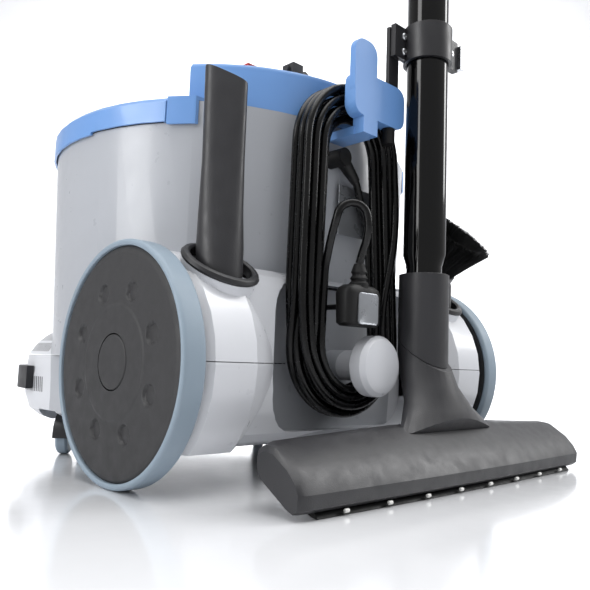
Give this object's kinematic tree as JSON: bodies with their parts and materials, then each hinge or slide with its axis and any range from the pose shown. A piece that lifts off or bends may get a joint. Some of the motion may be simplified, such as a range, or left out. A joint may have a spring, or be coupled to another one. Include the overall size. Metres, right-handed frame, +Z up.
{
  "type": "canister vacuum cleaner",
  "caption": "Round-drum canister vacuum cleaner with hinged lid, wheels, castors, parked telescopic wand with floor tool, two small tools and a coiled mains cord.",
  "frame": {"origin": "middle of the bounding box of everything but the cord, on the floor plane", "axes": "+Z up, -Y towards the front nose with the castors, +Y towards the big wheels and the parked wand, +X to the machine's left"},
  "size_m": [0.4272, 0.4786, 0.668],
  "materials": {
    "silver_plastic": "glossy silver-grey moulding",
    "blue_plastic": "satin mid-blue moulding",
    "grey_plastic": "fine-grained mid-grey moulding",
    "dark_plastic": "fine-grained dark-grey moulding",
    "tyre_grey": "soft blue-grey rubber",
    "black_steel": "polished black-coated steel tube",
    "zinc": "zinc-plated steel",
    "black_rubber": "matt black rubber or PVC",
    "red_plastic": "glossy red rocker",
    "paper": "non-woven filter paper",
    "label": "blank grey plate"
  },
  "bodies": {
    "machine": {"upper_shell": "silver_plastic", "lower_shell": "silver_plastic", "rear_hood": "blue_plastic", "filter_basket": "grey_plastic", "mains_plug": "black_rubber", "socket_ring_left": "dark_plastic", "socket_ring_right": "dark_plastic", "hose_inlet": "grey_plastic", "motor_housing": "grey_plastic", "cord_hook_lower": "silver_plastic", "cord_tail": "black_rubber", "chamber_floor": "grey_plastic", "dust_bag": "paper", "cable_gland": "black_rubber", "motor_gasket": "black_rubber", "motor_body": "zinc", "cord_hook_upper": "blue_plastic", "cord_coil": "black_rubber", "bumper_strip": "dark_plastic", "motor_filter": "paper", "rear_axle": "zinc", "cord_lead": "black_rubber", "park_buffer": "black_rubber", "handle_ear_left": "grey_plastic", "handle_ear_right": "grey_plastic", "lid_hinge_pin": "zinc", "exhaust_filter": "paper", "label_plate": "label", "switch_body": "dark_plastic"},
    "front_lid": {"front_lid": "blue_plastic", "lid_seal": "black_rubber"},
    "lid_latch": {"lid_latch": "grey_plastic"},
    "carry_handle": {"carry_handle": "grey_plastic"},
    "switch_rocker": {"switch_rocker": "red_plastic"},
    "wheel_left": {"wheel_left_tyre": "tyre_grey", "wheel_left_disc": "grey_plastic", "wheel_left_cap": "grey_plastic"},
    "wheel_right": {"wheel_right_tyre": "tyre_grey", "wheel_right_disc": "grey_plastic", "wheel_right_cap": "grey_plastic"},
    "castor_left": {"castor_left_fork": "dark_plastic"},
    "castor_right": {"castor_right_fork": "dark_plastic"},
    "castor_left_roller_outer": {"castor_left_wheel_outer": "tyre_grey"},
    "castor_left_roller_inner": {"castor_left_wheel_inner": "tyre_grey"},
    "castor_right_roller_outer": {"castor_right_wheel_outer": "tyre_grey"},
    "castor_right_roller_inner": {"castor_right_wheel_inner": "tyre_grey"},
    "fan": {"fan_rotor": "zinc"},
    "crevice_tool": {"crevice_tool": "grey_plastic"},
    "dusting_brush": {"brush_neck": "grey_plastic", "brush_bristles": "black_rubber"},
    "wand": {"wand_tube": "black_steel", "wand_collar": "dark_plastic", "clamp_band": "dark_plastic", "clamp_hook": "dark_plastic", "clamp_clip": "zinc", "tool_neck": "grey_plastic"},
    "wand_inner": {"wand_inner_tube": "black_steel"},
    "wand_button": {"wand_button": "grey_plastic"},
    "floor_tool": {"tool_body": "grey_plastic", "tool_lip": "black_rubber"}
  },
  "joints": [
    {"name": "wheel_left_spin", "type": "hinge", "parent": "machine", "child": "wheel_left", "pos_m": [0.0214, 0.08268, 0.09], "axis": [1, 0, 0], "continuous": true},
    {"name": "wheel_right_spin", "type": "hinge", "parent": "machine", "child": "wheel_right", "pos_m": [0.0214, 0.08268, 0.09], "axis": [1, 0, 0], "continuous": true},
    {"name": "castor_left_swivel", "type": "hinge", "parent": "machine", "child": "castor_left", "pos_m": [0.1434, -0.10132, 0.03], "axis": [0, 0, 1], "continuous": true},
    {"name": "castor_right_swivel", "type": "hinge", "parent": "machine", "child": "castor_right", "pos_m": [-0.1006, -0.10132, 0.03], "axis": [0, 0, 1], "continuous": true},
    {"name": "castor_left_roll_outer", "type": "hinge", "parent": "castor_left", "child": "castor_left_roller_outer", "pos_m": [0.15263, -0.0895, 0.0185], "axis": [0.788, -0.6157, 0], "continuous": true},
    {"name": "castor_left_roll_inner", "type": "hinge", "parent": "castor_left", "child": "castor_left_roller_inner", "pos_m": [0.15263, -0.0895, 0.0185], "axis": [0.788, -0.6157, 0], "continuous": true},
    {"name": "castor_right_roll_outer", "type": "hinge", "parent": "castor_right", "child": "castor_right_roller_outer", "pos_m": [-0.09137, -0.0895, 0.0185], "axis": [0.788, -0.6157, 0], "continuous": true},
    {"name": "castor_right_roll_inner", "type": "hinge", "parent": "castor_right", "child": "castor_right_roller_inner", "pos_m": [-0.09137, -0.0895, 0.0185], "axis": [0.788, -0.6157, 0], "continuous": true},
    {"name": "fan_spin", "type": "hinge", "parent": "machine", "child": "fan", "pos_m": [0.0214, -0.02232, 0.08], "axis": [0, 0, 1], "continuous": true},
    {"name": "lid_hinge", "type": "hinge", "parent": "machine", "child": "front_lid", "pos_m": [0.0214, 0.07018, 0.316], "axis": [-1, 0, 0], "range_deg": [0, 80]},
    {"name": "latch_hinge", "type": "hinge", "parent": "front_lid", "child": "lid_latch", "pos_m": [0.0214, -0.21232, 0.306], "axis": [-1, 0, 0], "range_deg": [0, 35]},
    {"name": "handle_hinge", "type": "hinge", "parent": "machine", "child": "carry_handle", "pos_m": [0.0214, 0.11068, 0.3465], "axis": [-1, 0, 0], "range_deg": [0, 60]},
    {"name": "switch_rock", "type": "hinge", "parent": "machine", "child": "switch_rocker", "pos_m": [0.1014, 0.09468, 0.336], "axis": [1, 0, 0], "range_deg": [-7, 7]},
    {"name": "crevice_pull", "type": "slide", "parent": "machine", "child": "crevice_tool", "axis": [0, 0, 1], "range_m": [0, 0.15]},
    {"name": "brush_pull", "type": "slide", "parent": "machine", "child": "dusting_brush", "axis": [0, 0, 1], "range_m": [0, 0.1]},
    {"name": "wand_lift", "type": "slide", "parent": "machine", "child": "wand", "axis": [0, 0, 1], "range_m": [0, 0.06]},
    {"name": "wand_extend", "type": "slide", "parent": "wand", "child": "wand_inner", "axis": [0, 0, 1], "range_m": [0, 0.35]},
    {"name": "button_press", "type": "slide", "parent": "wand", "child": "wand_button", "axis": [0, -1, 0], "range_m": [0, 0.002], "stiffness_N_per_m": 400},
    {"name": "tool_swivel", "type": "hinge", "parent": "wand", "child": "floor_tool", "pos_m": [-0.0226, 0.18468, 0.108], "axis": [0, 0.5592, 0.829], "range_deg": [-6, 6]}
  ]
}
